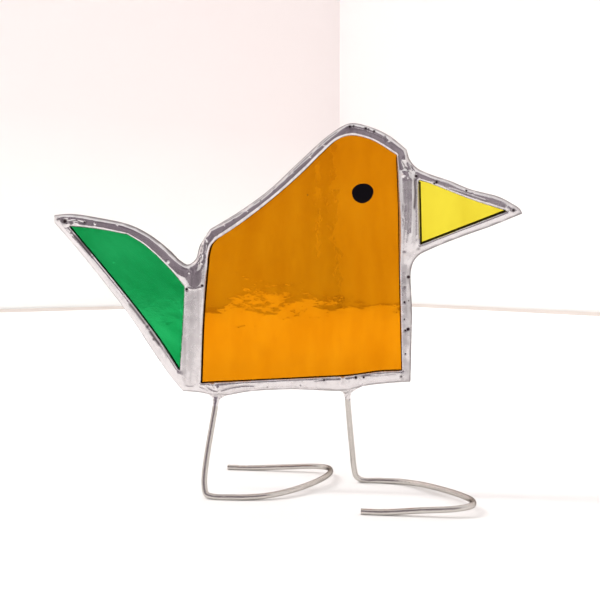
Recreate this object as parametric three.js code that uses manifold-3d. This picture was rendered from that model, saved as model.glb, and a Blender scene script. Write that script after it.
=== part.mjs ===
// A freestanding stained glass bird in copper-foil work: a green tail pane, an amber body pane
// and a yellow beak pane, held in one run of solder, on two legs of bent tinned wire.
// Millimetres, +Z up, +X from tail to beak. The glass stands in the XZ plane, and the feet
// rest on z = 0.

import * as THREE from 'three';
import { mergeVertices } from 'three/addons/utils/BufferGeometryUtils.js';
import Module from 'manifold-3d';

const wasm = await Module();
wasm.setup();

// Glass and solder
const glassThickness = 3.0;
const foilLip = 1.1; // width of glass that the foil and solder hide along every edge
const solderThickness = 4.8; // front to back over the bead
const bead = { width: 1.2, depth: 2.0 }; // rounding of the outer edge
const lip = { width: 1.0, depth: 0.85 }; // rounding down to the glass
const gap = 0.25; // clearance between the solder and what it holds
const curveSteps = 2; // straight pieces between two points of an outline
const lipSegments = 3;
const beadSegments = 4;

// Seams between two panes, where the bead is wide and domed
const seamThickness = 5.4;
const tailSeam = { top: [-21.3, 54.4], bottom: [-22.4, 26.2], width: 3.6 };
const beakSeam = { top: [31.1, 79.2], bottom: [31.4, 59.4], width: 3.0 };
const seamSegments = { cap: 3, radial: 14 };

// Wire legs
const wireRadius = 0.68;
const wireSides = 10;
const footFlat = 0.05; // how far the underside of a foot is worn or pressed flat
const footHeight = wireRadius - footFlat; // centre of the wire where it touches the ground
const solderedLength = 1.7; // wire inside the solder
const wireSteps = 96;

// The cone of solder at the top of a leg: radius and height from where the wire leaves the bead.
const filletProfile = [
  [0, -1.2], [0.85, -1.2], [1.05, -0.7], [1.5, -0.2], [2.1, 0.4], [1.7, 1.3], [0, 1.3],
];
const filletSegments = 14;
const socketReach = 3; // the room for a wire opens this far below the bead
const groundBlock = [200, 200, 10]; // cut from the legs, with its top at z = 0

// The edge of the whole bird, clockwise from the blunt end of the tail. Each inner list is one
// smooth stretch, and the bird has a corner where two of them meet.
const birdEdge = [
  [[-57.8, 66.3], [-57.8, 68.2]],
  [[-57.8, 68.2], [-53.8, 68.5], [-46, 67.4], [-38.1, 65.6], [-33, 63.1], [-27.9, 59.2],
    [-25.3, 56.7], [-23.3, 55.7], [-21.3, 57], [-20.2, 60.4], [-17.6, 64.4]],
  [[-17.6, 64.4], [-10.1, 68.8], [-2.6, 74.1], [4.8, 80.8], [12.2, 87.2], [17, 89.7],
    [21.8, 88.8], [26.6, 86.5], [30.6, 83.2]],
  [[30.6, 83.2], [31.4, 80.8], [33.1, 78.8], [35.6, 77.5], [40.9, 75.6], [45.6, 73.6],
    [52.6, 71.6], [56.4, 69.5]],
  [[56.4, 69.5], [57.8, 67.7]],
  [[57.8, 67.7], [50.4, 64.7], [43.4, 62.2], [36.3, 59.3], [33.3, 57.6], [31.9, 54.9],
    [32.1, 44], [31.8, 27.4]],
  [[31.8, 27.4], [26.9, 27], [20.8, 26.2], [16.5, 25], [2.4, 25], [-7.7, 24.3],
    [-15.5, 23], [-19.6, 23.7], [-24.6, 24.1]],
  [[-24.6, 24.1], [-28, 28], [-33.2, 35.3], [-38.3, 42.8], [-51.3, 59], [-57.8, 66.3]],
];

// The glass that shows in each pane, in the same way.
const bodyWindow = [
  [[-19.8, 26.3], [-19.1, 43], [-17.8, 57.6]],
  [[-17.8, 57.6], [-17.1, 60.2], [-15.8, 61.7]],
  [[-15.8, 61.7], [-9.8, 65.6], [-2.3, 71.2], [5, 77.4], [9.9, 82.1], [14, 85.6],
    [17.1, 86.5], [21.9, 85.5], [28.3, 81.7]],
  [[28.3, 81.7], [28.8, 69.7], [29.2, 50.6], [29.8, 30.2]],
  [[29.8, 30.2], [24.5, 29.9], [17.3, 28.8], [7.5, 28.1], [-19.8, 26.3]],
];
const tailWindow = [
  [[-53.5, 65.3], [-46, 64.5], [-38.4, 63.1]],
  [[-38.4, 63.1], [-33.8, 60.3], [-27.5, 54.4], [-23.9, 50.2]],
  [[-23.9, 50.2], [-24.2, 44.4], [-25.2, 29.4]],
  [[-25.2, 29.4], [-30.1, 36.7], [-37.8, 46.7], [-53.5, 65.3]],
];
const beakWindow = [
  [[33.6, 75.7], [36.2, 74.9], [45.6, 71.1], [54.2, 68.2]],
  [[54.2, 68.2], [34, 60.4]],
  [[34, 60.4], [33.6, 75.7]],
];

// Route of each wire: down from the solder, leaning away from the glass, a tight bend at the
// ground, a curved run out under the bird, a turn, and a straight run back to the cut end.
const tailLegRoute = [
  [-16, 0, 23.2 + solderedLength], [-16, -0.3, 23.2], [-16.2, -1.8, 19.7],
  [-16.9, -6.2, 10.7], [-17.1, -8.7, 5.5], [-16.9, -9.9, 2.9], [-16.2, -10.9, 1.1],
  [-14.6, -11.3, footHeight], [-10, -11.4, footHeight], [-5.6, -11, footHeight + 0.1],
  [-1, -9.7, footHeight + 0.4], [3.4, -6.4, footHeight + 0.8], [7.5, -0.9, footHeight + 1.2],
  [10.4, 5.6, footHeight + 1.5], [11.2, 12.1, footHeight + 1.5], [9.9, 16.6, footHeight + 1.4],
  [6.4, 19, footHeight + 1.1], [-3, 19.5, footHeight + 0.5], [-12, 19.6, footHeight],
  [-17.6, 19.6, footHeight],
];
const beakLegRoute = [
  [16.4, 0, 25.1 + solderedLength], [16.4, 0.4, 25.1], [16.6, 2.3, 19.8],
  [17.2, 6.7, 9], [17.6, 8.8, 3.6], [18.1, 9.6, 1.6],
  [19.6, 9.9, footHeight], [24.1, 9.9, footHeight], [29.2, 8.8, footHeight + 0.2],
  [34.2, 5, footHeight + 0.6], [39, -0.6, footHeight + 1], [43.4, -7.3, footHeight + 1.4],
  [46, -13.2, footHeight + 1.6], [45.4, -17.6, footHeight + 1.6], [41.9, -19.4, footHeight + 1.3],
  [34, -19.6, footHeight + 0.7], [26, -19.6, footHeight], [21.2, -19.6, footHeight],
];

function smoothShape(stretches) {
  const shape = new THREE.Shape();
  shape.moveTo(...stretches[0][0]);
  for (const stretch of stretches) {
    if (stretch.length === 2) shape.lineTo(...stretch[1]);
    else shape.splineThru(stretch.slice(1).map(([x, z]) => new THREE.Vector2(x, z)));
  }
  return shape;
}

// An outline drawn in XZ, given its thickness along Y about the plane y = 0.
function slab(stretches, thickness, options = {}) {
  const bevelDepth = options.bevelEnabled ? options.bevelThickness : 0;
  const settings = { bevelEnabled: false, curveSegments: curveSteps, ...options };
  const depth = thickness - 2 * bevelDepth;
  const geometry = new THREE.ExtrudeGeometry(smoothShape(stretches), { ...settings, depth });
  geometry.translate(0, 0, -depth / 2);
  geometry.rotateX(Math.PI / 2);
  return geometry;
}

// The same outline, grown all round.
function grownSlab(stretches, growth, thickness) {
  const shape = smoothShape(stretches);
  const points = shape.extractPoints(curveSteps).shape;
  const settings = { steps: 1, depth: thickness, bevelEnabled: false };
  const geometry = new THREE.ExtrudeGeometry(new THREE.Shape(grow(points, growth)), settings);
  geometry.translate(0, 0, -thickness / 2);
  geometry.rotateX(Math.PI / 2);
  return geometry;
}

// Each corner moves out along the bisector of its two sides.
function grow(outline, distance) {
  const points = outline.filter((point, i) => i === 0 || point.distanceTo(outline[i - 1]) > 1e-6);
  if (points[0].distanceTo(points.at(-1)) < 1e-6) points.pop();
  const turn = THREE.ShapeUtils.isClockWise(points) ? 1 : -1;
  return points.map((point, i) => {
    const before = point.clone().sub(points.at(i - 1)).normalize();
    const after = points[(i + 1) % points.length].clone().sub(point).normalize();
    const normalBefore = new THREE.Vector2(-before.y, before.x);
    const normalAfter = new THREE.Vector2(-after.y, after.x);
    const miter = normalBefore.add(normalAfter).normalize();
    const stretch = Math.max(miter.dot(normalAfter), 0.5);
    return point.clone().addScaledVector(miter, (turn * distance) / stretch);
  });
}

function solid(geometry) {
  const bare = geometry.index ? geometry.toNonIndexed() : geometry.clone();
  bare.deleteAttribute('normal');
  bare.deleteAttribute('uv');
  const merged = mergeVertices(bare, 1e-4);
  const mesh = new wasm.Mesh({
    numProp: 3,
    vertProperties: new Float32Array(merged.attributes.position.array),
    triVerts: new Uint32Array(merged.index.array),
  });
  return new wasm.Manifold(mesh);
}

function toGeometry(manifold) {
  const { vertProperties, triVerts } = manifold.getMesh();
  const geometry = new THREE.BufferGeometry();
  geometry.setAttribute('position', new THREE.BufferAttribute(vertProperties, 3));
  geometry.setIndex(new THREE.BufferAttribute(triVerts, 1));
  geometry.computeVertexNormals();
  return geometry;
}

// Glass
function pane(stretches) {
  return grownSlab(stretches, foilLip, glassThickness);
}

// What is cut from the solder for one pane: the window, which opens towards both faces as the
// bead rolls down to the glass, and the groove that holds the glass.
function paneOpening(stretches) {
  const flare = {
    bevelEnabled: true,
    bevelThickness: lip.depth,
    bevelSize: -lip.width,
    bevelOffset: lip.width,
    bevelSegments: lipSegments,
  };
  const clear = solderThickness + 2 * gap;
  const window = solid(slab(stretches, clear, flare));
  const groove = solid(grownSlab(stretches, foilLip + gap, glassThickness + 2 * gap));
  return window.add(groove);
}

// A domed bead over the seam between two panes.
function seamBead({ top, bottom, width }) {
  const run = new THREE.Vector2(top[0] - bottom[0], top[1] - bottom[1]);
  const { cap, radial } = seamSegments;
  const geometry = new THREE.CapsuleGeometry(width / 2, run.length() - width, cap, radial);
  geometry.scale(1, 1, seamThickness / width);
  geometry.rotateX(Math.PI / 2);
  geometry.rotateY(Math.atan2(run.x, run.y));
  geometry.translate((top[0] + bottom[0]) / 2, 0, (top[1] + bottom[1]) / 2);
  return solid(geometry);
}

function wire(route, radius = wireRadius, steps = wireSteps) {
  const path = new THREE.CatmullRomCurve3(route.map((point) => new THREE.Vector3(...point)));
  const section = new THREE.Shape();
  section.absarc(0, 0, radius, 0, 2 * Math.PI);
  const settings = { steps, extrudePath: path, curveSegments: wireSides / 2, bevelEnabled: false };
  return solid(new THREE.ExtrudeGeometry(section, settings));
}

// Solder that runs down round the top of a leg.
function legFillet(route) {
  const [top, exit] = route.map((point) => new THREE.Vector3(...point));
  const profile = filletProfile.map(([r, z]) => new THREE.Vector2(r, z));
  const geometry = new THREE.LatheGeometry(profile, filletSegments);
  const lean = new THREE.Quaternion();
  lean.setFromUnitVectors(new THREE.Vector3(0, 1, 0), top.sub(exit).normalize());
  geometry.applyQuaternion(lean);
  geometry.translate(exit.x, exit.y, exit.z);
  return solid(geometry);
}

// Room for a leg in the solder.
function legSocket(route) {
  const [top, exit] = route.map((point) => new THREE.Vector3(...point));
  const along = top.clone().sub(exit).normalize();
  const ends = [top.addScaledVector(along, gap), exit.addScaledVector(along, -socketReach)];
  return wire(ends.map((end) => end.toArray()), wireRadius + gap, 1);
}

function solderFrame() {
  const edge = {
    bevelEnabled: true,
    bevelThickness: bead.depth,
    bevelSize: bead.width,
    bevelOffset: -bead.width,
    bevelSegments: beadSegments,
  };
  let frame = solid(slab(birdEdge, solderThickness, edge));
  for (const window of [bodyWindow, tailWindow, beakWindow]) {
    frame = frame.subtract(paneOpening(window));
  }
  for (const seam of [tailSeam, beakSeam]) frame = frame.add(seamBead(seam));
  for (const window of [bodyWindow, tailWindow, beakWindow]) {
    frame = frame.subtract(solid(grownSlab(window, foilLip + gap, glassThickness + 2 * gap)));
  }
  for (const route of [tailLegRoute, beakLegRoute]) {
    frame = frame.add(legFillet(route)).subtract(legSocket(route));
  }
  return toGeometry(frame);
}

// A leg, flattened where it stands.
function leg(route) {
  const ground = new THREE.BoxGeometry(...groundBlock);
  ground.translate(0, 0, -groundBlock[2] / 2);
  return toGeometry(wire(route).subtract(solid(ground)));
}

const amberGlass = new THREE.MeshStandardMaterial({
  color: 0xe08a06, roughness: 0.12, metalness: 0, transparent: true, opacity: 0.75,
});
const greenGlass = new THREE.MeshStandardMaterial({
  color: 0x1aa052, roughness: 0.12, metalness: 0, transparent: true, opacity: 0.75,
});
const yellowGlass = new THREE.MeshStandardMaterial({
  color: 0xf5df3a, roughness: 0.12, metalness: 0, transparent: true, opacity: 0.75,
});
const solder = new THREE.MeshStandardMaterial({
  color: 0xcfcbd0, roughness: 0.18, metalness: 1,
});
const tinnedWire = new THREE.MeshStandardMaterial({
  color: 0xb4aaa6, roughness: 0.35, metalness: 1,
});

const group = new THREE.Group();

function add(name, geometry, material) {
  const mesh = new THREE.Mesh(geometry, material);
  mesh.name = name;
  group.add(mesh);
}

add('body_pane', pane(bodyWindow), amberGlass);
add('tail_pane', pane(tailWindow), greenGlass);
add('beak_pane', pane(beakWindow), yellowGlass);
add('solder_frame', solderFrame(), solder);
add('tail_side_leg', leg(tailLegRoute), tinnedWire);
add('beak_side_leg', leg(beakLegRoute), tinnedWire);

export default group;
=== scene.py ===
# Stained glass bird on wire feet: the looks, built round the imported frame.
# Blender units are metres. Outlines are drawn in millimetres, +X to the beak and +Z up; the
# glass stands in the XZ plane with its front towards -Y.

import math

import bmesh
import bpy
import numpy as np
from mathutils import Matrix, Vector, noise
from mathutils.geometry import delaunay_2d_cdt
from mathutils.kdtree import KDTree


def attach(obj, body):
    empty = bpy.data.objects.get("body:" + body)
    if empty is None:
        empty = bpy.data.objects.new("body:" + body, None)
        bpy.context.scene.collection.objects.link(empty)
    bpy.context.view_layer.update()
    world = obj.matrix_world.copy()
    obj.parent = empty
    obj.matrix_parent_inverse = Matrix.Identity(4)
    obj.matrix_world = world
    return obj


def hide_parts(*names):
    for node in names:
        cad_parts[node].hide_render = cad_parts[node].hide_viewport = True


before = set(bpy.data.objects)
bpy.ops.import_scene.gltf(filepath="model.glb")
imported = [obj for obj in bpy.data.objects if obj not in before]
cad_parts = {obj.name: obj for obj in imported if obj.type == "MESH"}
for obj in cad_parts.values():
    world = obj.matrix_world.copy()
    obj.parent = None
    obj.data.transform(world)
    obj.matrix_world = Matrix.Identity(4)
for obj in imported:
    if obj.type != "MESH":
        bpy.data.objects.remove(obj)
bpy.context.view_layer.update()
mm = 0.001
print("frame loaded:", ", ".join(sorted(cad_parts)))


def linear(hexCode):
    parts = [int(hexCode[i:i + 2], 16) / 255 for i in (1, 3, 5)]
    rgb = [p / 12.92 if p <= 0.04045 else ((p + 0.055) / 1.055) ** 2.4 for p in parts]
    return (*rgb, 1.0)


# Adds a node. A setting is one of the node's own options, or goes to a socket as a value or a link.
# A link comes from a socket, or from a node alone, which means its first output.
def addNode(tree, kind, settings=None):
    node = tree.nodes.new(kind)
    for name, value in (settings or {}).items():
        source = value.outputs[0] if isinstance(value, bpy.types.Node) else value
        if isinstance(source, bpy.types.NodeSocket):
            tree.links.new(source, node.inputs[name])
        elif isinstance(name, str) and hasattr(node, name):
            setattr(node, name, value)
        else:
            node.inputs[name].default_value = value
    return node


def addAttribute(tree, name):
    return addNode(tree, "ShaderNodeAttribute", {"attribute_name": name}).outputs["Fac"]


def addMath(tree, operation, *values):
    return addNode(tree, "ShaderNodeMath", {"operation": operation, **dict(enumerate(values))})


# Takes the stretch from start to end over to the one from low to high.
def addRange(tree, value, start=0.0, end=1.0, low=0.0, high=1.0, kind="LINEAR"):
    return addNode(tree, "ShaderNodeMapRange", {
        "interpolation_type": kind, "From Min": start, "From Max": end,
        "To Min": low, "To Max": high, "Value": value,
    })


# A tone from low to high by a factor from 0 to 1. Each is a code or comes from another node.
def addTone(tree, factor, low, high):
    low, high = (linear(tone) if isinstance(tone, str) else tone for tone in (low, high))
    mix = addNode(tree, "ShaderNodeMix", {"data_type": "RGBA", 6: low, 7: high, "Factor": factor})
    return mix.outputs[2]


def addBump(tree, height, strength, distance):
    return addNode(tree, "ShaderNodeBump",
                   {"Strength": strength, "Distance": distance * mm, "Height": height})


# The surface that a material ends in.
def addSurface(tree, settings):
    shader = addNode(tree, "ShaderNodeBsdfPrincipled", settings)
    addNode(tree, "ShaderNodeOutputMaterial", {"Surface": shader})


# Noise has about one lump to a unit, so this is its scale for lumps of a size in millimetres.
def lumpScale(size):
    return 1 / (size * mm)


# Noise with lumps of that size, over the object unless it is told where.
def addNoise(tree, size, detail, roughness=0.5, place=None):
    if place is None:
        place = addNode(tree, "ShaderNodeTexCoord").outputs["Object"]
    return addNode(tree, "ShaderNodeTexNoise", {
        "Scale": lumpScale(size), "Detail": detail, "Roughness": roughness, "Vector": place,
    })


# Rises from 0 at start to 1 at end; falls where start is the higher.
def ramp(value, start, end):
    return np.clip((value - start) / (end - start), 0, 1)


def newMaterial(name):
    material = bpy.data.materials.new(name)
    material.use_nodes = True
    material.node_tree.nodes.clear()
    return material, material.node_tree


# A smooth line through the points, resampled at even spacing (centripetal Catmull-Rom).
def smoothLine(points, spacing):
    points = np.array(points, float)
    if len(points) > 2:
        ends = (2 * points[0] - points[1], 2 * points[-1] - points[-2])
        knots = np.vstack([ends[0], points, ends[1]])
        fine = []
        t = np.linspace(0, 1, 40, endpoint=False)[:, None]
        for p0, p1, p2, p3 in zip(knots, knots[1:], knots[2:], knots[3:]):
            d0, d1, d2 = (np.linalg.norm(b - a) ** 0.5 for a, b in ((p0, p1), (p1, p2), (p2, p3)))
            m1 = ((p1 - p0) / d0 - (p2 - p0) / (d0 + d1) + (p2 - p1) / d1) * d1
            m2 = ((p2 - p1) / d1 - (p3 - p1) / (d1 + d2) + (p3 - p2) / d2) * d1
            fine.append(p1 + m1 * t + (3 * (p2 - p1) - 2 * m1 - m2) * t ** 2
                        + (2 * (p1 - p2) + m1 + m2) * t ** 3)
        points = np.vstack([*fine, points[-1:]])
    length = np.concatenate([[0], np.cumsum(np.linalg.norm(np.diff(points, axis=0), axis=1))])
    count = max(1, round(length[-1] / spacing))
    at = np.linspace(0, length[-1], count + 1)
    return np.column_stack([np.interp(at, length, column) for column in points.T])


# A closed outline, counter-clockwise, with a corner where two stretches meet.
def closedLine(stretches, spacing):
    loop = np.vstack([smoothLine(stretch, spacing)[:-1] for stretch in stretches])
    x, z = loop.T
    area = np.sum(x * np.roll(z, -1) - np.roll(x, -1) * z)
    return loop if area > 0 else loop[::-1]


# Which way is out at each point of a loop, and how much longer a step that way is at a corner.
def outwardNormals(loop):
    before = loop - np.roll(loop, 1, axis=0)
    after = np.roll(loop, -1, axis=0) - loop
    before /= np.linalg.norm(before, axis=1)[:, None]
    after /= np.linalg.norm(after, axis=1)[:, None]
    way = before + after
    way /= np.linalg.norm(way, axis=1)[:, None]
    miter = 1 / np.maximum(np.sum(way * after, axis=1), 0.55)
    return np.column_stack([way[:, 1], -way[:, 0]]), miter


def grow(loop, distance):
    normals, miter = outwardNormals(loop)
    return loop + normals * (miter * distance)[:, None]


# How far each point is from a line, and which point of the line lies there.
def nearest(loop, points, openEnded=False):
    ahead = np.roll(loop, -1, axis=0)
    if openEnded:
        ahead[-1] = loop[-1]
    fine = np.vstack([loop + (ahead - loop) * t for t in (0, 0.25, 0.5, 0.75)])
    tree = KDTree(len(fine))
    for i, (x, z) in enumerate(fine):
        tree.insert((x, z, 0), i)
    tree.balance()
    found = [tree.find((x, z, 0)) for x, z in points]
    distance = np.array([f[2] for f in found])
    return distance, np.array([f[1] % len(loop) for f in found])


def nearestOf(loops, points):
    return np.min([nearest(loop, points)[0] for loop in loops], axis=0)


def inside(loop, points):
    x, z = points.T
    result = np.zeros(len(points), bool)
    for (ax, az), (bx, bz) in zip(loop, np.roll(loop, -1, axis=0)):
        if az == bz:
            continue
        crosses = ((az > z) != (bz > z)) & (x < (bx - ax) * (z - az) / (bz - az) + ax)
        result ^= crosses
    return result


def hexGrid(loop, spacing):
    low, high = loop.min(axis=0), loop.max(axis=0)
    rows = np.arange(low[1], high[1], spacing * 0.866)  # the height of an even triangle
    points = [
        (x + (spacing / 2 if i % 2 else 0), z)
        for i, z in enumerate(rows)
        for x in np.arange(low[0], high[0], spacing)
    ]
    return np.array(points)


# Triangles over a flat region with holes. The loops come first in the points, in order.
def fillRegion(loops, extra):
    points = np.vstack([*loops, extra])
    edges, start = [], 0
    for loop in loops:
        n = len(loop)
        edges += [(start + i, start + (i + 1) % n) for i in range(n)]
        start += n
    result = delaunay_2d_cdt([Vector(p) for p in points], edges, [], 0, 1e-7)
    where, source = result[0], result[3]
    order = [s[0] for s in source]
    tris = np.array([[order[i] for i in face] for face in result[2]])
    a, b, c = points[tris].transpose(1, 2, 0)
    area = (b[0] - a[0]) * (c[1] - a[1]) - (c[0] - a[0]) * (b[1] - a[1])
    middle = points[tris].mean(axis=1)
    keep = inside(loops[0], middle) & (np.abs(area) > 1e-5)
    for hole in loops[1:]:
        keep &= ~inside(hole, middle)
    if len(where) != len(points):
        print("  merged points:", len(points) - len(where))
    return points, tris[keep]


# Smooth lumps of a size in millimetres, from about -0.5 to 0.5.
def lumps(points, size, seed):
    shift = Vector((seed * 7.3, seed * 3.1, seed * 5.7))
    return np.array([noise.noise(Vector((x, z, 0)) / size + shift) for x, z in points])


def addObject(name, data):
    thing = bpy.data.objects.new(name, data)
    bpy.context.scene.collection.objects.link(thing)
    return thing


def makeObject(name, vertices, faces, materials, faceMaterials=None):
    mesh = bpy.data.meshes.new(name)
    mesh.from_pydata([Vector(v) * mm for v in vertices], [], [tuple(map(int, f)) for f in faces])
    for material in materials:
        mesh.materials.append(material)
    if faceMaterials is not None:
        mesh.polygons.foreach_set("material_index", np.array(faceMaterials, np.int32))
    mesh.polygons.foreach_set("use_smooth", np.ones(len(mesh.polygons), bool))
    return addObject(name, mesh)


# Turns every face outwards and reports any hole.
def closed(piece):
    bm = bmesh.new()
    bm.from_mesh(piece.data)
    bmesh.ops.recalc_face_normals(bm, faces=bm.faces)
    print("  ", piece.name, len(bm.faces), "faces, volume", round(bm.calc_volume(signed=True) / mm ** 3, 1),
          "mm3, open edges", sum(not e.is_manifold for e in bm.edges))
    bm.to_mesh(piece.data)
    bm.free()


# Gives each point of a mesh its own number, for a material to read.
def addValues(mesh, name, values):
    mesh.attributes.new(name, "FLOAT", "POINT").data.foreach_set("value", values)


def markSharp(mesh, pairs):
    for edge in mesh.edges:
        if frozenset(edge.vertices) in pairs:
            edge.use_edge_sharp = True


# The edge of the whole bird, clockwise from the blunt end of the tail.
birdEdge = [
    [(-57.8, 66.3), (-57.8, 68.2)],
    [(-57.8, 68.2), (-53.8, 68.5), (-46, 67.4), (-38.1, 65.6), (-33, 63.1), (-27.9, 59.2),
     (-25.3, 56.7), (-23.3, 55.7), (-21.3, 57), (-20.2, 60.4), (-17.6, 64.4)],
    [(-17.6, 64.4), (-10.1, 68.8), (-2.6, 74.1), (4.8, 80.8), (12.2, 87.2), (17, 89.7),
     (21.8, 88.8), (26.6, 86.5), (30.6, 83.2)],
    [(30.6, 83.2), (31.4, 80.8), (33.1, 78.8), (35.6, 77.5), (40.9, 75.6), (45.6, 73.6),
     (52.6, 71.6), (56.4, 69.5)],
    [(56.4, 69.5), (57.4, 68.6), (57.8, 67.7)],
    [(57.8, 67.7), (50.4, 64.7), (43.4, 62.2), (36.3, 59.3), (33.3, 57.6), (31.9, 54.9),
     (32.1, 44), (31.8, 27.4)],
    [(31.8, 27.4), (26.9, 27), (20.8, 26.2), (16.5, 25), (2.4, 25), (-7.7, 24.3),
     (-15.5, 23), (-19.6, 23.7), (-24.6, 24.1)],
    [(-24.6, 24.1), (-28, 28), (-33.2, 35.3), (-38.3, 42.8), (-51.3, 59), (-57.8, 66.3)],
]

# The glass that shows in each pane, and how much further than that the foil reaches in over
# the back of the glass at each side.
windows = {
    "body": {
        "shape": [
            [(-19.8, 26.3), (-19.1, 43), (-17.8, 57.6)],
            [(-17.8, 57.6), (-17.1, 60.2), (-15.8, 61.7)],
            [(-15.8, 61.7), (-9.8, 65.6), (-2.3, 71.2), (5, 77.4), (9.9, 82.1), (14, 85.6),
             (17.1, 86.5), (21.9, 85.5), (28.3, 81.7)],
            [(28.3, 81.7), (28.8, 69.7), (29.2, 50.6), (29.8, 30.2)],
            [(29.8, 30.2), (24.5, 29.9), (17.3, 28.8), (7.5, 28.1), (-19.8, 26.3)],
        ],
        "rear": {"left": 0.0, "right": 0.25, "top": -0.35, "bottom": 0.1},
    },
    "tail": {
        "shape": [
            [(-53.5, 65.3), (-46, 64.5), (-38.4, 63.1)],
            [(-38.4, 63.1), (-33.8, 60.3), (-27.5, 54.4), (-23.9, 50.2)],
            [(-23.9, 50.2), (-24.2, 44.4), (-25.2, 29.4)],
            [(-25.2, 29.4), (-30.1, 36.7), (-37.8, 46.7), (-53.5, 65.3)],
        ],
        "rear": {"left": -0.15, "right": -0.1, "top": -0.3, "bottom": -0.1},
    },
    "beak": {
        "shape": [
            [(33.6, 75.7), (36.2, 74.9), (45.6, 71.1), (54.2, 68.2)],
            [(54.2, 68.2), (34, 60.4)],
            [(34, 60.4), (33.6, 75.7)],
        ],
        "rear": {"left": 0.4, "right": 0.0, "top": -0.2, "bottom": 0.65},
    },
}

glassHalf = 1.5  # half the glass thickness
foilHalf = 1.46  # the foil's inner side, sunk a little in the glass so that no light gets between


# Solder: tin and lead, run on molten and left as it froze. A bright metal with soft lumps,
# a thin frosting where it cooled slowly, grey tarnish on the rim and in the pits, and a painted
# reflection: long grey streaks down the seams.
def solderMaterial():
    material, tree = newMaterial("tinLeadSolder")
    cloudy = addNoise(tree, 2.38, 5.0, 0.6)
    clean = addTone(tree, cloudy, "#E9E6E7", "#D6D1D2")
    # Tarnish, and the painted reflection down the seams, turn the metal towards a dark grey.
    tarnishAndPaintedReflection = addAttribute(tree, "tarnishAndPaintedReflection")
    patches = addMath(tree, "MULTIPLY", cloudy, addAttribute(tree, "frost"))
    dulled = addMath(tree, "MULTIPLY_ADD", tarnishAndPaintedReflection, 0.5, patches)
    addSurface(tree, {
        "Metallic": 1.0,
        "Base Color": addTone(tree, tarnishAndPaintedReflection, clean, "#3C2E33"),
        "Roughness": addRange(tree, dulled, low=0.08, high=0.5),
        "Normal": addBump(tree, addNoise(tree, 0.67, 3.0), 0.5, 0.02),
    })
    return material


# Black-backed copper foil: the dull dark glue side, which shows only through the glass.
def foilMaterial():
    material, tree = newMaterial("blackBackedFoil")
    tone = addTone(tree, addNoise(tree, 1.11, 3.0), "#0B0807", "#2A1D19")
    addSurface(tree, {"Roughness": 0.5, "Base Color": tone})
    return material


# Cathedral glass: rolled, see-through, coloured in the melt, with faint streaks of deeper
# colour along the pull. The back keeps the fine ripple of the roller; the front is fire-polished.
def glassMaterial(name, light, deep, sheen, haze, pullAngle=0):
    material, tree = newMaterial(name)
    place = addNode(tree, "ShaderNodeTexCoord").outputs["Object"]
    pull = addNode(tree, "ShaderNodeMapping", {
        "vector_type": "TEXTURE", "Rotation": (0, math.radians(pullAngle), 0), "Scale": (1, 1, 3),
        "Vector": place,
    })
    streaks = addRange(tree, addNoise(tree, 5.26, 5.0, 0.55, pull), 0.3, 0.7)
    wide = addNode(tree, "ShaderNodeMapping", {"Scale": (0.8, 1, 1.15), "Vector": place})
    rolled = addNoise(tree, 4.35, 4.0, 0.45, wide)
    addSurface(tree, {
        "Roughness": haze,
        "IOR": 1.52,
        "Transmission Weight": 1.0,
        "Specular Tint": linear(sheen),
        "Base Color": addTone(tree, streaks, light, deep),
        "Normal": addBump(tree, rolled, addAttribute(tree, "ripple"), 0.26),
    })
    return material


# Black glass paint, brushed on: glossy, with a faintly uneven skin.
def paintMaterial():
    material, tree = newMaterial("blackGlassPaint")
    skin = addNoise(tree, 1.43, 2.0)
    addSurface(tree, {
        "Roughness": 0.3,
        "Specular IOR Level": 0.12,
        "Base Color": addTone(tree, skin, "#020003", "#07030C"),
        "Normal": addBump(tree, skin, 0.5, 0.05),
    })
    return material


# Tinned copper wire: drawn, then dipped. Fine lines run along it, drawn a little coarser than they
# are so that they show, and handling has dulled it.
def wireMaterial():
    material, tree = newMaterial("tinnedWire")
    linesAround = wire["radius"] / wire["lineWidth"]
    runScale = lumpScale(wire["lineLength"]) / linesAround
    angle = addMath(tree, "MULTIPLY", addAttribute(tree, "around"), 2 * math.pi)
    place = addNode(tree, "ShaderNodeCombineXYZ", {
        "X": addMath(tree, "COSINE", angle),
        "Y": addMath(tree, "SINE", angle),
        "Z": addMath(tree, "MULTIPLY", addAttribute(tree, "along"), runScale),
    })
    lines = addNode(tree, "ShaderNodeTexNoise",
                    {"Scale": linesAround, "Detail": 5.0, "Roughness": 0.7, "Vector": place})
    addSurface(tree, {
        "Metallic": 1.0,
        "Specular Tint": linear("#7A726C"),
        "Base Color": addTone(tree, lines, "#A7A19B", "#EEEAE5"),
        "Roughness": addRange(tree, lines, low=0.16, high=0.34),
        "Normal": addBump(tree, lines, 0.6, 0.04),
    })
    return material


solder = {
    "spacing": 0.26,  # between points of the mesh
    "crest": 1.95,  # from the middle of the glass to the top of the bead
    "roll": 2.0,  # the bead rolls down to the outer edge over this width
    "rollRows": (8, 17, 26, 36, 46, 57),  # degrees round the roll, a row of points at each
    "square": 2.1,  # 2 rolls off round, more is flatter on top
    "lip": 0.45,  # and rises from the glass over this one
    "lipRise": 0.34,
    "lipRows": (0.05, 0.13, 0.24, 0.38, 0.55),  # rows of points this far from the glass
    "soft": 0.05,  # how softly lip and roll meet
    "least": 0.02,  # its least thickness from the middle
    "dome": 0.4,  # a seam between two panes stands this much higher
    "domeWidth": 1.8,
    "seamStart": (1.5, 3.1),  # a border turns into a seam this far in from the edge of the bird
    "channel": 0.8,  # how far the glass reaches under it
    "overlap": 1.1,  # width over which the rear edge follows the foil
    "frost": (0.8, 0.3),  # where it cooled slowly, and elsewhere
    "markFade": (0.5, 0.3),  # marks fade out this near the edge and the glass
}

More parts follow.
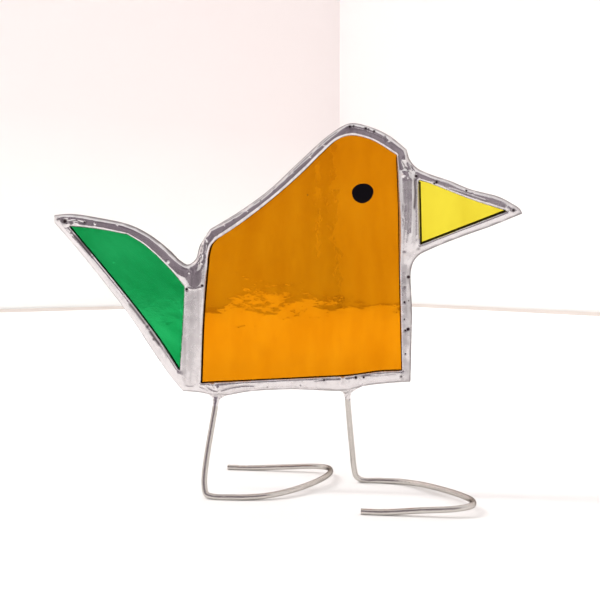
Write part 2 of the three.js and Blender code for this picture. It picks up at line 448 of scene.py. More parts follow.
# How uneven it is: the size of each kind of lump, its share of the lip's width, the lip's rise
# and the roll's width, and what it adds to the crest.
lumpKinds = [
    {"size": 6.5, "lip": 0.4, "lipRise": 0.08, "roll": 0.22, "crest": 0.1},
    {"size": 2.1, "lip": 0.3, "lipRise": 0.05, "roll": 0.2, "crest": 0.03},
    {"size": 0.8, "lip": 0.0, "lipRise": 0.012, "roll": 0.0, "crest": 0.014},
]

# In the values below, a pair is where a change starts and where it is full.

# Down the seams the metal ran in long lines.
runLines = {"width": 0.6, "stretch": 0.07, "height": 0.05}

# Along the bird's back it rolls off over a wider edge.
shoulder = {"from": (-17, -15), "to": (15, 12), "above": 60, "lip": 0.35, "roll": 0.3}

# Down the tail seam the run stopped for a moment, lower in the middle, as a drip is. It leans
# back above that place and is calmer below.
tailSeam = {
    "middle": -21.2,
    "side": (2.3, 1.2),  # from the middle
    "stopped": 50.0,
    "drip": 0.45,
    "dripMost": 2.0,
    "leanAbove": 0.07,
    "leanBelow": -0.006,
    "calm": 0.75,
}

# Beside the beak it piled up against the body.
beakPile = {
    "left": (29, 30.3),
    "right": (32.9, 31.2),
    "bottom": (57, 63),
    "ragged": 5,  # by how much the run lines shift its bottom
    "top": 78,
    "height": 0.62,
    "crest": 0.4,
    "frostFrom": 29.6,
    "frostTo": 75.5,
}

# Tarnish and painted reflection, from 0 to 1: tarnish on the outer rim, a painted reflection in
# grey streaks down the seams, and grime low beside the beak.
tarnishingAndPaintedReflection = {
    "rim": {"strength": 1.6, "fade": 0.42, "width": 0.65, "lump": 1.6, "lumpy": 0.9},
    "streaks": {"strength": 0.3, "width": 0.7, "stretch": 0.06, "start": 1.5, "level": 0.25},
    "grime": {"from": 29.2, "fade": 0.5, "below": (60, 54), "lump": 1.6, "level": 0.22, "lumpy": 0.4,
              "most": 0.3, "fromGlass": 0.4},
}

# Marks left in the front of the solder: x, z, radius, height and how dirty.
marks = [
    (-23.1, 49.6, 0.3, -0.12, 1.0), (-19.2, 50.5, 0.28, -0.1, 1.0), (-22.5, 53.9, 0.6, 0.2, 0.0),
    (-19.6, 56.2, 0.5, 0.15, 0.0), (-18.5, 62.2, 0.5, 0.16, 0.0), (-19.3, 60.2, 0.35, -0.12, 0.4),
    (-18.0, 60.9, 0.3, -0.1, 0.5), (-19.5, 58.2, 0.4, 0.12, 0.0), (-20.6, 54.6, 0.4, -0.1, 0.2),
    (-54.5, 66.6, 0.6, -0.2, 0.6), (-51.5, 66.2, 0.5, 0.15, 0.0), (-49.3, 66.2, 0.35, -0.12, 0.6),
    (-46.6, 65.9, 0.3, 0.1, 0.0), (-56.3, 67.0, 0.4, 0.12, 0.4), (-52.8, 65.9, 0.3, -0.1, 0.5),
    (-40.8, 65.6, 0.25, 0.12, 0.0), (-38.5, 63.4, 0.25, 0.1, 0.0), (-27.8, 56.4, 0.3, 0.14, 0.0),
    (-50.0, 61.4, 0.4, -0.14, 0.4), (-33.3, 40.3, 0.4, -0.14, 0.5), (-31.6, 37.2, 0.35, -0.12, 0.5),
    (17.1, 88.7, 0.3, -0.1, 0.8), (18.0, 88.8, 0.2, -0.1, 0.8), (20.9, 88.2, 0.3, -0.1, 0.8),
    (21.6, 88.0, 0.2, -0.1, 0.7), (22.9, 87.5, 0.25, -0.1, 0.8), (25.5, 86.2, 0.25, -0.08, 0.3),
    (26.2, 85.2, 0.5, 0.12, 0.0), (30.2, 80.6, 0.5, 0.16, 0.0), (31.3, 77.8, 0.4, 0.16, 0.0),
    (31.9, 79.0, 0.35, -0.14, 0.4), (30.4, 78.8, 0.3, -0.12, 0.4), (29.9, 76.9, 0.3, 0.12, 0.0),
    (32.9, 76.7, 0.3, -0.16, 1.0), (37.7, 75.2, 0.3, -0.14, 0.8), (44.7, 73.1, 0.22, -0.14, 1.0),
    (37.2, 74.9, 0.2, -0.1, 0.8), (46.3, 72.7, 0.4, 0.12, 0.0), (55.6, 68.4, 0.4, -0.15, 0.6),
    (53.6, 69.0, 0.5, 0.12, 0.0), (33.6, 59.4, 0.35, -0.1, 0.3),
    (31.2, 52.7, 0.34, -0.16, 1.0), (30.3, 50.4, 0.3, -0.1, 0.4), (30.3, 46.7, 0.24, -0.12, 0.9),
    (31.3, 47.0, 0.15, -0.08, 0.7), (31.2, 40.2, 0.36, -0.16, 1.0), (30.5, 39.9, 0.24, -0.12, 0.8),
    (30.3, 42.6, 0.16, -0.1, 0.8), (30.6, 34.3, 0.16, -0.1, 1.0), (30.5, 58.2, 0.5, 0.1, 0.0),
    (-16.6, 25.7, 0.55, 0.25, 0.0), (-15.4, 25.1, 0.35, 0.22, 0.0), (11.0, 27.7, 0.22, -0.14, 0.8),
    (15.6, 28.2, 0.45, 0.18, 0.0), (18.7, 28.4, 0.3, -0.16, 1.0), (19.6, 28.3, 0.3, 0.2, 0.0),
    (20.6, 28.5, 0.25, -0.12, 0.8), (20.3, 26.6, 0.3, 0.18, 0.0), (5.2, 26.2, 0.2, -0.08, 0.4),
    (-3.0, 25.6, 0.2, -0.08, 0.3), (29.6, 28.8, 0.3, -0.1, 0.5), (-13.6, 65.4, 0.3, 0.08, 0.0),
    (-7.9, 68.9, 0.35, 0.09, 0.0),
    (-1.6, 73.7, 0.3, 0.08, 0.0), (3.4, 78.1, 0.35, 0.09, 0.0), (7.6, 81.7, 0.25, 0.08, 0.0),
    (10.8, 84.6, 0.35, 0.09, 0.0), (-11.2, 66.6, 0.2, -0.08, 0.5), (-4.6, 71.3, 0.2, -0.08, 0.5),
]

# Folds where the metal stopped and ran on: the line, its half width, its height and how dirty.
# The one with no height is no fold but a painted reflection: a grey band down the tail seam.
creases = [
    ([(-18.6, 25.9), (-17.6, 25.1), (-16.3, 24.5), (-15.0, 24.3)], 0.16, -0.12, 0.35),
    ([(-15.2, 24.3), (-14.0, 24.8), (-12.2, 25.4), (-8.8, 25.9), (-6.0, 25.9)], 0.2, -0.12, 0.3),
    ([(-20.4, 25.6), (-18.9, 25.0), (-17.6, 24.3)], 0.15, -0.08, 0.3),
    ([(-24.2, 26.0), (-22.4, 25.6), (-20.8, 26.0)], 0.16, -0.06, 0.25),
    ([(-23.2, 49.9), (-21.2, 49.6), (-19.0, 50.1)], 0.16, 0.12, 0.0),
    ([(-19.9, 63.2), (-19.5, 60.4), (-19.7, 57.5), (-20.6, 55.2)], 0.2, -0.16, 0.25),
    ([(-18.6, 62.6), (-18.3, 60.6), (-18.6, 57.6)], 0.18, -0.12, 0.2),
    ([(31.0, 76.6), (31.1, 70.0), (30.9, 61.0)], 0.2, -0.07, 0.3),
    ([(32.5, 76.6), (32.7, 72.6), (32.5, 68.6)], 0.24, -0.14, 0.9),
    ([(31.9, 75.6), (32.0, 70.4), (31.8, 62.5)], 0.16, 0.08, 0.0),
    ([(33.1, 75.8), (33.2, 70.0), (33.2, 62.0)], 0.2, 0.08, 0.0),
    ([(29.7, 70.6), (30.0, 69.4), (29.8, 68.0)], 0.16, -0.08, 0.5),
    ([(29.5, 67.2), (30.1, 66.0), (29.9, 64.6)], 0.16, -0.08, 0.4),
    ([(-52.5, 63.4), (-50.2, 61.0), (-47.6, 58.0)], 0.36, -0.04, 0.85),
    ([(-38.2, 46.3), (-36.0, 43.6), (-33.7, 40.6)], 0.34, -0.04, 0.7),
    ([(-33.0, 39.6), (-31.4, 37.4), (-29.9, 35.4)], 0.38, -0.04, 0.85),
    # Painted reflection, colour only: a wide grey band down the middle of the tail seam.
    ([(-21.7, 49.0), (-22.0, 40.0), (-22.4, 29.0)], 1.1, 0, 0.2),
    ([(-15.6, 65.0), (-12.0, 66.9), (-9.0, 68.6)], 0.16, -0.08, 0.5),
    ([(-6.8, 70.1), (-3.5, 72.5), (-0.6, 74.9)], 0.16, -0.08, 0.4),
    ([(1.8, 77.0), (5.3, 80.2), (8.3, 82.8)], 0.16, -0.08, 0.5),
    ([(9.0, 83.5), (12.0, 86.1), (14.4, 87.7)], 0.15, -0.08, 0.5),
    ([(29.3, 80.8), (30.6, 78.6), (31.9, 77.0)], 0.2, -0.14, 0.4),
    ([(30.6, 81.6), (31.4, 79.4), (32.7, 77.6)], 0.2, -0.12, 0.2),
    ([(8.0, 27.2), (11.8, 27.9), (14.0, 28.3)], 0.16, -0.08, 0.35),
    ([(17.4, 28.6), (20.6, 29.0), (24.0, 29.0), (28.6, 29.5)], 0.2, -0.1, 0.25),
    ([(15.6, 88.6), (20.0, 87.9), (25.0, 85.8), (29.0, 83.2)], 0.22, -0.08, 0.2),
    ([(40.0, 73.8), (44.0, 72.6), (49.5, 70.6)], 0.2, -0.08, 0.3),
    ([(-54.6, 66.2), (-51.8, 66.7), (-49.4, 66.0)], 0.2, -0.14, 0.4),
    ([(-56.6, 67.2), (-54.8, 67.6), (-53.4, 67.3)], 0.18, 0.1, 0.2),
]


# Height where the run down the tail seam stopped.
def stoppedAt(x):
    return tailSeam["stopped"] + np.clip(tailSeam["drip"] * (x - tailSeam["middle"]) ** 2, 0,
                                         tailSeam["dripMost"])


# Height of the bead from the middle of the glass, at points this far from the edge and the glass.
def beadHeight(edge, window, points, seed):
    x, z = points.T
    kinds = [(kind, lumps(points, kind["size"], seed + i)) for i, kind in enumerate(lumpKinds)]

    def uneven(what):
        return sum(kind[what] * lump for kind, lump in kinds)

    inSeam = ramp(edge, *solder["seamStart"])
    inSeam = inSeam * inSeam * (3 - 2 * inSeam)
    runs = lumps(points * [1, runLines["stretch"]], runLines["width"], seed + len(lumpKinds))
    calm = 1 - tailSeam["calm"] * inSeam * (z < tailSeam["stopped"])
    wideEdge = ramp(x, *shoulder["from"]) * ramp(x, *shoulder["to"]) * (z > shoulder["above"])
    piled = ramp(x, *beakPile["left"]) * ramp(x, *beakPile["right"])
    piled *= ramp(z - beakPile["ragged"] * runs, *beakPile["bottom"])

    lip = solder["lip"] * (1 + uneven("lip") + shoulder["lip"] * wideEdge)
    risen = np.sin(np.pi / 2 * np.clip(window / lip, 0, 1))
    rise = solder["lipRise"] * (1 + uneven("lipRise"))
    dome = solder["dome"] * (1 - (1 - np.clip(window / solder["domeWidth"], 0, 1)) ** 2)
    fromGlass = (foilHalf + rise * risen + inSeam * (dome + runLines["height"] * runs * calm)
                 + beakPile["height"] * piled * (z < beakPile["top"]))

    rollWidth = solder["roll"] * (1 + uneven("roll") + shoulder["roll"] * wideEdge)
    roll = 1 - np.clip(edge / rollWidth, 0, 1)
    crest = (solder["crest"] + solder["dome"] * inSeam + uneven("crest") * calm
             + beakPile["crest"] * piled)
    fromEdge = crest * (1 - roll ** solder["square"]) ** (1 / solder["square"])

    soft = solder["soft"]
    height = -soft * np.log(np.exp(-fromGlass / soft) + np.exp(-fromEdge / soft))
    inTailSeam = ramp(np.abs(x - tailSeam["middle"]), *tailSeam["side"])
    above = z - stoppedAt(x)
    lean = np.where(above > 0, tailSeam["leanAbove"], tailSeam["leanBelow"])
    height -= risen * inTailSeam * lean * above
    return np.where(edge < 1e-6, 0, np.maximum(height, solder["least"]))


# How tarnished the metal is at each point, before the marks and folds, with the painted reflection
# down the seams.
def solderTarnishAndPaintedReflection(edge, window, points):
    x, z = points.T
    rim, streaks, grime = tarnishingAndPaintedReflection["rim"], tarnishingAndPaintedReflection["streaks"], tarnishingAndPaintedReflection["grime"]
    onRim = np.clip(rim["strength"] - edge / rim["fade"]
                    + rim["lumpy"] * lumps(points, rim["lump"], 21), 0, 1)
    onRim *= np.clip(1 - edge / rim["width"], 0, 1)
    # Painted reflection: long grey streaks more than 1.5 mm in from the bird's edge, down the seams.
    streaky = lumps(points * [1, streaks["stretch"]], streaks["width"], 22) + streaks["level"]
    streaky = streaks["strength"] * np.clip(streaky, 0, 1) * np.clip(edge - streaks["start"], 0, 1)
    grimy = np.clip(grime["level"] + grime["lumpy"] * lumps(points, grime["lump"], 23), 0,
                    grime["most"])
    grimy *= np.clip((x - grime["from"]) / grime["fade"], 0, 1) * ramp(z, *grime["below"])
    grimy *= np.clip(window / grime["fromGlass"], 0, 1)
    return np.maximum(onRim, np.maximum(streaky, grimy))


# Where the points of the bead's mesh lie: rows along its edges, where it curves most, a grid
# between them, and closer points at each mark and fold.
def solderPoints(outer, holes):
    clearOfEdge, clearOfGlass = 0.12, 0.06

    def onSolder(points):
        points = points[inside(outer, points)]
        points = points[nearest(outer, points)[0] > clearOfEdge]
        for hole in holes:
            points = points[~inside(hole, points)]
            points = points[nearest(hole, points)[0] > clearOfGlass]
        return points

    depths = [solder["roll"] * (1 - math.cos(math.radians(a))) for a in solder["rollRows"]]
    groups = []
    for depth in depths:
        row = grow(outer, -depth)
        keep = nearest(outer, row)[0] > 0.96 * depth
        keep &= nearestOf(holes, row) > 0.2
        groups.append(row[keep])
    for hole in holes:
        for depth in solder["lipRows"]:
            row = grow(hole, depth)
            keep = nearestOf(holes, row) > 0.96 * depth
            keep &= nearest(outer, row)[0] > depths[-1] + 0.1
            groups.append(row[keep])
    grid = hexGrid(outer, solder["spacing"])
    grid = grid[inside(outer, grid)]
    for hole in holes:
        grid = grid[~inside(hole, grid)]
    edge = nearest(outer, grid)[0]
    window = nearestOf(holes, grid)
    groups.append(grid[(edge > depths[-1] + clearOfEdge) & (window > solder["lipRows"][-1] + 0.13)])

    around = np.linspace(0, 2 * math.pi, 9, endpoint=False)[:, None]
    for x, z, radius, height, dirtAndPaintedReflection in marks:
        near = np.array([x, z])
        rings = [near + radius * r * np.hstack([np.cos(around + r), np.sin(around + r)])
                 for r in (0.4, 0.8, 1.2, 1.7)]
        groups = [group[np.hypot(*(group - near).T) > radius * 1.9] for group in groups]
        groups.append(onSolder(np.vstack([near[None, :], *rings])))
    for line, width, height, dirtAndPaintedReflection in creases:
        if height == 0:
            continue
        line = smoothLine(line, 0.14)
        ahead = np.gradient(line, axis=0)
        side = np.column_stack([-ahead[:, 1], ahead[:, 0]]) / np.hypot(*ahead.T)[:, None]
        rows = np.vstack([line + side * width * k for k in (-1.3, -0.65, 0, 0.65, 1.3)])
        groups = [group[nearest(line, group, True)[0] > 1.6 * width] for group in groups]
        groups.append(onSolder(rows))
    return np.vstack(groups)


# The points of the bead behind, where the foil reaches in further at some sides than at others.
def rearPoints(points, holes, found):
    behind = points.copy()
    for hole, (distance, index), window in zip(holes, found, windows.values()):
        normals = outwardNormals(hole)[0]
        rear = window["rear"]
        reach = (np.clip(-normals[:, 0], 0, 1) ** 2 * rear["left"]
                 + np.clip(normals[:, 0], 0, 1) ** 2 * rear["right"]
                 + np.clip(normals[:, 1], 0, 1) ** 2 * rear["top"]
                 + np.clip(-normals[:, 1], 0, 1) ** 2 * rear["bottom"])
        shift = -(normals * reach[:, None])[index]
        behind += shift * np.exp(-(distance / solder["overlap"]) ** 2)[:, None]
    return behind


# The front and back of the bead share the edge of the bird; a channel round each window, lined
# with foil, takes the glass.
def makeSolder(metal, foil):
    outer = closedLine(birdEdge, solder["spacing"])
    holes = [closedLine(window["shape"], solder["spacing"]) for window in windows.values()]
    points, tris = fillRegion([outer, *holes], solderPoints(outer, holes))
    print("  solder points:", len(points), "triangles:", len(tris))

    edge = nearest(outer, points)[0]
    edge[:len(outer)] = 0
    found = [nearest(hole, points) for hole in holes]
    window = np.min([f[0] for f in found], axis=0)
    window[len(outer):len(outer) + sum(map(len, holes))] = 0
    count = len(points)
    front = beadHeight(edge, window, points, 1)
    back = beadHeight(edge, window, points, 11)
    clean = solderTarnishAndPaintedReflection(edge, window, points)
    tarnishAndPaintedReflection = np.concatenate([clean, clean[len(outer):]])
    fromEdge, fromGlass = solder["markFade"]
    inner = np.clip(edge / fromEdge, 0, 1) * np.clip(window / fromGlass, 0, 1)
    for x, z, radius, height, dirtAndPaintedReflection in marks:
        near = np.exp(-((points[:, 0] - x) ** 2 + (points[:, 1] - z) ** 2) / radius ** 2)
        front += near * (height if height < 0 else 2 * height) * inner
        tarnishAndPaintedReflection[:count] = np.maximum(tarnishAndPaintedReflection[:count], 1.6 * dirtAndPaintedReflection * np.clip(near * 1.5, 0, 1))
    for line, width, height, dirtAndPaintedReflection in creases:
        step = 0.1
        line = smoothLine(line, step)
        away, index = nearest(line, points, True)
        # The fold fades out over its last 0.8 mm at both ends.
        along = np.clip(np.minimum(index, len(line) - index) * step / 0.8, 0, 1)
        near = np.exp(-(away / width) ** 2) * along
        front += near * height * inner
        tarnishAndPaintedReflection[:count] = np.maximum(tarnishAndPaintedReflection[:count], dirtAndPaintedReflection * near)

    behind = rearPoints(points, holes, found)
    vertices = [(x, -h, z) for (x, z), h in zip(points, front)]
    # The rims of the two sides are shared.
    backIndex = np.arange(count) + count - len(outer)
    backIndex[:len(outer)] = np.arange(len(outer))
    vertices += [(x, h, z) for (x, z), h in zip(behind[len(outer):], back[len(outer):])]
    faces = [tuple(t) for t in tris] + [tuple(backIndex[t[::-1]]) for t in tris]
    kinds = [0] * len(faces)
    sharp = set()
    start = len(outer)
    for hole in holes:
        n = len(hole)
        frontLoop = list(range(start, start + n))
        backLoop = [int(backIndex[i]) for i in frontLoop]
        out = grow(hole, solder["channel"])
        base = len(vertices)
        vertices += [(x, -foilHalf, z) for x, z in out] + [(x, foilHalf, z) for x, z in out]
        deepFront = list(range(base, base + n))
        deepBack = list(range(base + n, base + 2 * n))
        for one, two in ((frontLoop, deepFront), (deepFront, deepBack), (deepBack, backLoop)):
            for i in range(n):
                j = (i + 1) % n
                faces.append((one[i], two[i], two[j], one[j]))
                kinds.append(1)
        for loop in (frontLoop, backLoop):
            sharp |= {frozenset((loop[i], loop[(i + 1) % n])) for i in range(n)}
        start += n
    piece = makeObject("solder_bead", vertices, faces, [metal, foil], kinds)
    mesh = piece.data
    markSharp(mesh, sharp)
    addValues(mesh, "tarnishAndPaintedReflection", np.pad(tarnishAndPaintedReflection, (0, len(vertices) - len(tarnishAndPaintedReflection))))
    x, z = np.array(vertices)[:, [0, 2]].T
    slow = (z < stoppedAt(x)) | ((x > beakPile["frostFrom"]) & (z < beakPile["frostTo"]))
    addValues(mesh, "frost", np.where(slow, *solder["frost"]))
    closed(piece)
    return piece


# The cone of solder that holds each wire.
joint = {
    # Half width through and along the bead, and place along the wire from where that leaves it.
    "profile": [
        (0.6, 0.6, -3.1), (0.68, 0.68, -2.9), (0.71, 0.72, -2.3), (0.75, 0.8, -1.6),
        (0.85, 1.0, -0.9), (1.05, 1.6, -0.3), (1.35, 2.7, 0.4), (1.45, 3.6, 0.9), (1.3, 3.4, 1.6),
    ],
    "spacing": 0.12,
    "sides": 48,
    "lumpy": 0.12,
    "lumpyFrom": (-2.4, -1.4),  # smooth below, where it runs out on the wire
    "foldWidth": 0.07,
    "foldDirt": 0.85,
}


def makeFillet(name, route, metal):
    start = Vector(route[1])
    step = 0.1
    path = smoothLine(route[1:6], step)
    profile = smoothLine(joint["profile"], joint["spacing"])
    sides = joint["sides"]
    vertices, folds = [], []
    for thick, wide, place in profile:
        at = int(round(max(0, -place) / step))
        middle = Vector(path[at]) + Vector((0, 0, max(0, place)))
        up = (Vector(path[max(at - 3, 0)]) - Vector(path[at + 3])).normalized()
        through = up.cross(Vector((1, 0, 0))).normalized()
        along = through.cross(up)
        lumpy = joint["lumpy"] * ramp(place, *joint["lumpyFrom"])
        for i in range(sides):
            turn = 2 * math.pi * i / sides
            way = along * math.cos(turn) * wide + through * math.sin(turn) * thick
            vertices.append(middle + way * (1 + lumpy * noise.noise(way * 0.9 + up * place * 0.6 + start)))
            fold = abs(noise.noise((way + up * place) * 0.8 + start))
            folds.append(joint["foldDirt"] * ramp(fold, joint["foldWidth"], 0))
    rings = len(profile)
    faces = []
    for low in range(0, (rings - 1) * sides, sides):
        for i in range(sides):
            j = (i + 1) % sides
            faces.append((low + i, low + j, low + sides + j, low + sides + i))
    faces += [tuple(range(sides))[::-1], tuple(range((rings - 1) * sides, rings * sides))]
    piece = makeObject(name, vertices, faces, [metal])
    addValues(piece.data, "tarnishAndPaintedReflection", folds)
    closed(piece)
    return piece


# A dab of paint or a speck in the glass: a wobbly oval.
def dab(x, z, halfWidth, halfHeight):
    turn = np.linspace(0, 2 * math.pi, 48, endpoint=False)
    wobble = 1 + 0.03 * np.sin(2 * turn + 0.6) + 0.025 * np.sin(3 * turn) + 0.01 * np.sin(7 * turn)
    return np.column_stack([x + halfWidth * wobble * np.cos(turn), z + halfHeight * wobble * np.sin(turn)])


# A sheet of glass: its front is nearly flat, its back came off the roller with slow waves and a
# fine ripple. Each wave is a size, a height and a seed.
glassSheet = {
    "spacing": 0.5,
    "underSolder": 0.95,
    "flatEdge": 1.2,  # the waves die away towards the edge over this width
    "frontWave": (5.0, 0.006, 31),
    "backWaves": [(4.0, 0.02, 41), (1.8, 0.008, 43)],
    "frontRipple": 0.06,
    "backRipple": {"body": 0.25, "tail": 0.9, "beak": 0.25},
    "rippleWave": (9.0, 0.2, 45),
}

# The back of the amber also leans up or down along the bird, and sideways higher up, which moves
# what is seen through it. In two places the roller left it rougher.
amberBack = {
    "place": [-21, -14.5, -12.5, -10.5, -8, -5, 4, 8, 10, 14, 30],
    "lean": [0.02, 0.02, -0.012, -0.02, -0.036, -0.022, -0.016, -0.012, 0.004, 0.004, 0.01],
    "middle": 49.0,  # height where the lean shows
    "reach": 5.0,
    "sideways": {"height": 0.12, "middle": 12, "width": 7, "above": (56, 62)},
    "rough": [(-7, 5.5, 1.0), (6, 7, 0.55)],
    "smoothSide": (-15, 3, 0.15),  # it is smoother up to here, over this width, with this left
}


def wave(points, size, height, seed):
    return height * lumps(points, size, seed)


def backOfGlass(key, points, fade):
    x, z = points.T
    y = sum(wave(points, *each) for each in glassSheet["backWaves"])
    ripple = glassSheet["backRipple"][key] + wave(points, *glassSheet["rippleWave"])
    if key == "body":
        lean = np.interp(x, amberBack["place"], amberBack["lean"])
        reach = amberBack["reach"]
        y += lean * reach * np.tanh((z - amberBack["middle"]) / reach)
        side = amberBack["sideways"]
        y += side["height"] * np.tanh((x - side["middle"]) / side["width"]) * ramp(z, *side["above"])
        start, width, least = amberBack["smoothSide"]
        ripple *= np.clip((x - start) / width, least, 1)
        for middle, width, strength in amberBack["rough"]:
            ripple += strength * np.exp(-((x - middle) / width) ** 2)
    return glassHalf + y * fade, np.clip(ripple, 0, 2)


def makePane(key, glass, paint=None, dabs=(), bubbles=()):
    loop = grow(closedLine(windows[key]["shape"], glassSheet["spacing"]), glassSheet["underSolder"])
    grid = hexGrid(loop, glassSheet["spacing"])
    grid = grid[inside(loop, grid)]
    grid = grid[nearest(loop, grid)[0] > glassSheet["spacing"] / 2]
    dabs = [dab(*each) for each in dabs]
    for ring in dabs:
        grid = grid[nearest(ring, grid)[0] > 0.15]
    extra = list(dabs)
    for x, z, radius, depth in bubbles:
        extra += [dab(x, z, radius * r, radius * r)[::3] for r in (0.3, 0.6, 1.0)]
        grid = grid[np.hypot(grid[:, 0] - x, grid[:, 1] - z) > radius * 1.3]
    points, tris = fillRegion([loop], np.vstack([*extra, grid]))
    fade = ramp(nearest(loop, points)[0], 0, glassSheet["flatEdge"])
    backY, ripple = backOfGlass(key, points, fade)
    frontY = wave(points, *glassSheet["frontWave"]) * fade - glassHalf
    for x, z, radius, depth in bubbles:
        away = np.hypot(points[:, 0] - x, points[:, 1] - z) / radius
        frontY += depth * np.clip(1 - away ** 2, 0, 1)
    count = len(points)
    vertices = [(x, y, z) for (x, z), y in zip(points, frontY)]
    vertices += [(x, y, z) for (x, z), y in zip(points, backY)]
    faces = [tuple(t) for t in tris] + [tuple(t[::-1] + count) for t in tris]
    middle = points[tris].mean(axis=1)
    kinds = np.zeros(len(faces) + len(loop), int)
    for ring in dabs:
        kinds[:len(tris)][inside(ring, middle)] = 1
    n = len(loop)
    faces += [(i, i + count, (i + 1) % n + count, (i + 1) % n) for i in range(n)]
    piece = makeObject(key + "_glass", vertices, faces, [glass, paint] if paint else [glass], kinds)
    rims = {frozenset((i + side, (i + 1) % n + side)) for i in range(n) for side in (0, count)}
    markSharp(piece.data, rims)
    addValues(piece.data, "ripple", np.concatenate([np.full(count, glassSheet["frontRipple"]), ripple]))
    closed(piece)
    return piece


wire = {
    "radius": 0.68,
    "sides": 28,
    "step": 0.2,  # between its rings
    "worn": 0.05,  # off the underside
    "lineWidth": 0.136,  # of the drawing lines
    "lineLength": 3.33,
    # Pliers nicked it here, close to the cut end at the back: x of each, depth and half width.
    "nicks": [(-14.3, 0.13, 0.3), (-13.4, 0.09, 0.25), (-12.5, 0.12, 0.3), (-16.6, 0.06, 0.3)],
    "nicked": "tail_side_leg",
    "nickedRun": (-10, 18.1),  # x below and y above these
    "cutEnd": (19.6, 0.64),  # y and z of the wire's middle there
}
stand = wire["radius"] - wire["worn"]  # height of the wire's middle where it stands

# The route of each wire: down from the solder, a tight bend, a curved run out under the bird,
# a turn, and a straight run back to the cut end.
legRoutes = {
    "tail_side_leg": [
        (-16, 0, 24.9), (-16, -0.3, 23.2), (-16.2, -1.8, 19.7),
        (-16.9, -6.2, 10.7), (-17.1, -8.7, 5.5), (-16.9, -9.9, 2.9), (-16.2, -10.9, 1.1),
        (-14.6, -11.3, stand), (-10, -11.4, stand), (-5.6, -11, stand + 0.1),
        (-1, -9.7, stand + 0.4), (3.4, -6.4, stand + 0.8), (7.5, -0.9, stand + 1.2),
        (10.4, 5.6, stand + 1.5), (11.2, 12.1, stand + 1.5), (9.9, 16.6, stand + 1.4),
        (6.4, 19, stand + 1.1), (-3, 19.5, stand + 0.5), (-12, 19.6, stand),
        (-17.6, 19.6, stand),
    ],
    "beak_side_leg": [
        (16.4, 0, 26.8), (16.4, 0.4, 25.1), (16.6, 2.3, 19.8),
        (17.2, 6.7, 9), (17.6, 8.8, 3.6), (18.1, 9.6, 1.6),
        (19.6, 9.9, stand), (24.1, 9.9, stand), (29.2, 8.8, stand + 0.2),
        (34.2, 5, stand + 0.6), (39, -0.6, stand + 1), (43.4, -7.3, stand + 1.4),
        (46, -13.2, stand + 1.6), (45.4, -17.6, stand + 1.6), (41.9, -19.4, stand + 1.3),
        (34, -19.6, stand + 0.7), (26, -19.6, stand), (21.2, -19.6, stand),
    ],
}


# Sweeps a round section along a curve, and keeps how far along and around each point lies.
def wireTree(metal):
    tree = bpy.data.node_groups.new("drawnWire", "GeometryNodeTree")
    for name, way, kind in (("Geometry", "INPUT", "Geometry"), ("Radius", "INPUT", "Float"),
                            ("Sides", "INPUT", "Int"), ("Geometry", "OUTPUT", "Geometry")):
        tree.interface.new_socket(name, in_out=way, socket_type="NodeSocket" + kind)
    given = addNode(tree, "NodeGroupInput").outputs
    distance = addNode(tree, "GeometryNodeSplineParameter").outputs
    kept = {"data_type": "FLOAT", "domain": "POINT"}
    path = addNode(tree, "GeometryNodeStoreNamedAttribute", {
        **kept, "Name": "along", "Geometry": given["Geometry"], "Value": distance["Length"],
    })
    circle = addNode(tree, "GeometryNodeCurvePrimitiveCircle",
                     {"Resolution": given["Sides"], "Radius": given["Radius"]})
    section = addNode(tree, "GeometryNodeStoreNamedAttribute", {
        **kept, "Name": "around", "Geometry": circle, "Value": distance["Factor"],
    })
    sweep = addNode(tree, "GeometryNodeCurveToMesh",
                    {"Fill Caps": True, "Curve": path, "Profile Curve": section})
    smooth = addNode(tree, "GeometryNodeSetShadeSmooth", {"Geometry": sweep})
    real = addNode(tree, "GeometryNodeRealizeInstances", {"Geometry": smooth})
    dressed = addNode(tree, "GeometryNodeSetMaterial", {"Material": metal, "Geometry": real})
    addNode(tree, "NodeGroupOutput", {"Geometry": dressed})
    return tree


def makeLeg(node, tree):
    route = smoothLine(legRoutes[node], wire["step"]) * mm
    data = bpy.data.curves.new(node + "_route", "CURVE")
    data.dimensions = "3D"
    spline = data.splines.new("POLY")
    spline.points.add(len(route) - 1)
    spline.points.foreach_set("co", np.column_stack([route, np.ones(len(route))]).ravel())
    line = addObject(node + "_route", data)
    sweep = line.modifiers.new("wire", "NODES")
    sweep.node_group = tree
    values = {"Radius": wire["radius"] * mm, "Sides": wire["sides"]}
    for item in tree.interface.items_tree:
        if item.in_out == "INPUT" and item.name in values:
            sweep[item.identifier] = values[item.name]
    bpy.context.view_layer.update()
    shape = line.evaluated_get(bpy.context.evaluated_depsgraph_get())
    mesh = bpy.data.meshes.new_from_object(shape)
    bpy.data.objects.remove(line)
    mesh.name = node + "_wire"
    cutEnd = Vector(wire["cutEnd"])
    farX, nearY = wire["nickedRun"]
    for vertex in mesh.vertices:
        x, y, z = vertex.co / mm
        if node == wire["nicked"] and x < farX and y > nearY:
            deep = sum(depth * math.exp(-((x - at) / width) ** 2) for at, depth, width in wire["nicks"])
            y, z = cutEnd + (Vector((y, z)) - cutEnd) * (1 - deep / wire["radius"])
        vertex.co = Vector((x, y, max(z, 0.0))) * mm  # the underside is pressed flat where it stands
    return addObject(node + "_wire", mesh)


